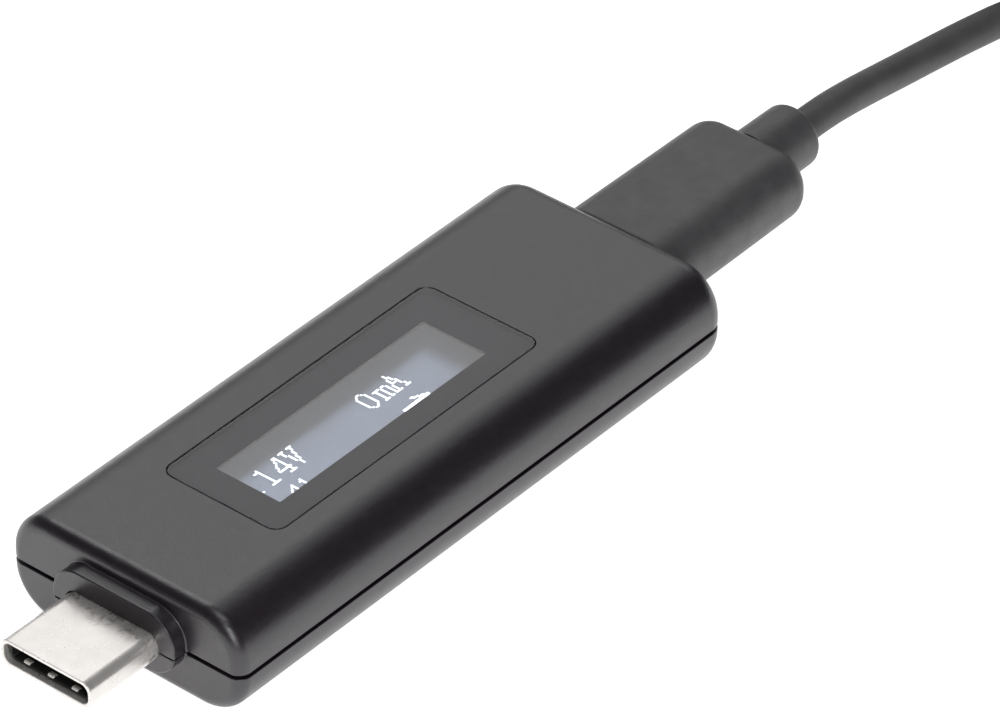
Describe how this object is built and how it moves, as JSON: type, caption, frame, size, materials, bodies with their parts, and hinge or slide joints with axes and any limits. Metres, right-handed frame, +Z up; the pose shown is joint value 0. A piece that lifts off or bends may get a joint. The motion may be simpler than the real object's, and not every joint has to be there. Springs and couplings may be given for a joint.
{
  "type": "usb power meter",
  "caption": "Slim in-line USB-C voltage and current meter with a display window, a USB-C plug at one end and a folded and tied USB-C lead in its socket.",
  "frame": {"origin": "middle of the flat base that the meter lies on, measured without the lead", "axes": "+X runs along the meter from its plug towards its socket and the lead, +Z points up out of the display face, and +Y is to the left seen from the plug end looking along +X"},
  "size_m": [0.2314, 0.0254, 0.0096],
  "materials": {
    "shell_plastic": "satin moulded black with a fine spark-eroded grain",
    "window_plastic": "clear pane with a satin face and a dark grey mask printed on its back",
    "adhesive": "thin black adhesive film",
    "panel_glass": "dark OLED glass, lit with pale characters",
    "flex_film": "amber polyimide film",
    "foam": "matte black foam",
    "board_laminate": "green solder mask",
    "chip_resin": "matte epoxy moulding",
    "shunt_metal": "rolled metal resistor",
    "ceramic": "fired ceramic",
    "nickel": "bright nickel plate with light handling marks",
    "insulator_plastic": "black glass-filled moulding",
    "contact_gold": "gold plate",
    "grip_plastic": "dark grey soft overmoulding with a fine grain",
    "cord_jacket": "smooth dark grey jacket with a soft sheen",
    "tie_fabric": "black hook-and-loop strap"
  },
  "bodies": {
    "meter": {"upper_shell": "shell_plastic", "lower_shell": "shell_plastic", "display_window": "window_plastic", "window_gasket": "adhesive", "oled_panel": "panel_glass", "oled_flex": "flex_film", "oled_pad": "foam", "main_board": "board_laminate", "microcontroller": "chip_resin", "voltage_regulator": "chip_resin", "current_sense_amplifier": "chip_resin", "current_shunt": "shunt_metal", "input_capacitor": "ceramic", "output_capacitor": "ceramic", "plug_shell": "nickel", "plug_latch": "nickel", "ground_springs_upper": "nickel", "ground_springs_lower": "nickel", "receptacle_shell": "nickel", "plug_insulator": "insulator_plastic", "receptacle_tongue": "insulator_plastic", "contacts_upper": "contact_gold", "contacts_lower": "contact_gold", "receptacle_contacts_upper": "contact_gold", "receptacle_contacts_lower": "contact_gold"},
    "lead": {"lead_plug_shell": "nickel", "lead_plug_insulator": "insulator_plastic", "lead_contacts_upper": "contact_gold", "lead_contacts_lower": "contact_gold", "lead_plug_latch": "nickel", "lead_grip": "grip_plastic", "lead_strain_relief": "grip_plastic", "lead_cord": "cord_jacket", "lead_hank": "cord_jacket", "hank_tie": "tie_fabric", "lead_cord_tail": "cord_jacket", "far_strain_relief": "grip_plastic", "far_grip": "grip_plastic", "far_plug_shell": "nickel", "far_plug_insulator": "insulator_plastic", "far_contacts_upper": "contact_gold", "far_contacts_lower": "contact_gold", "far_plug_latch": "nickel"}
  },
  "joints": [
    {"name": "lead_pull", "type": "slide", "parent": "meter", "child": "lead", "axis": [1, 0, 0], "range_m": [0, 0.012]}
  ]
}
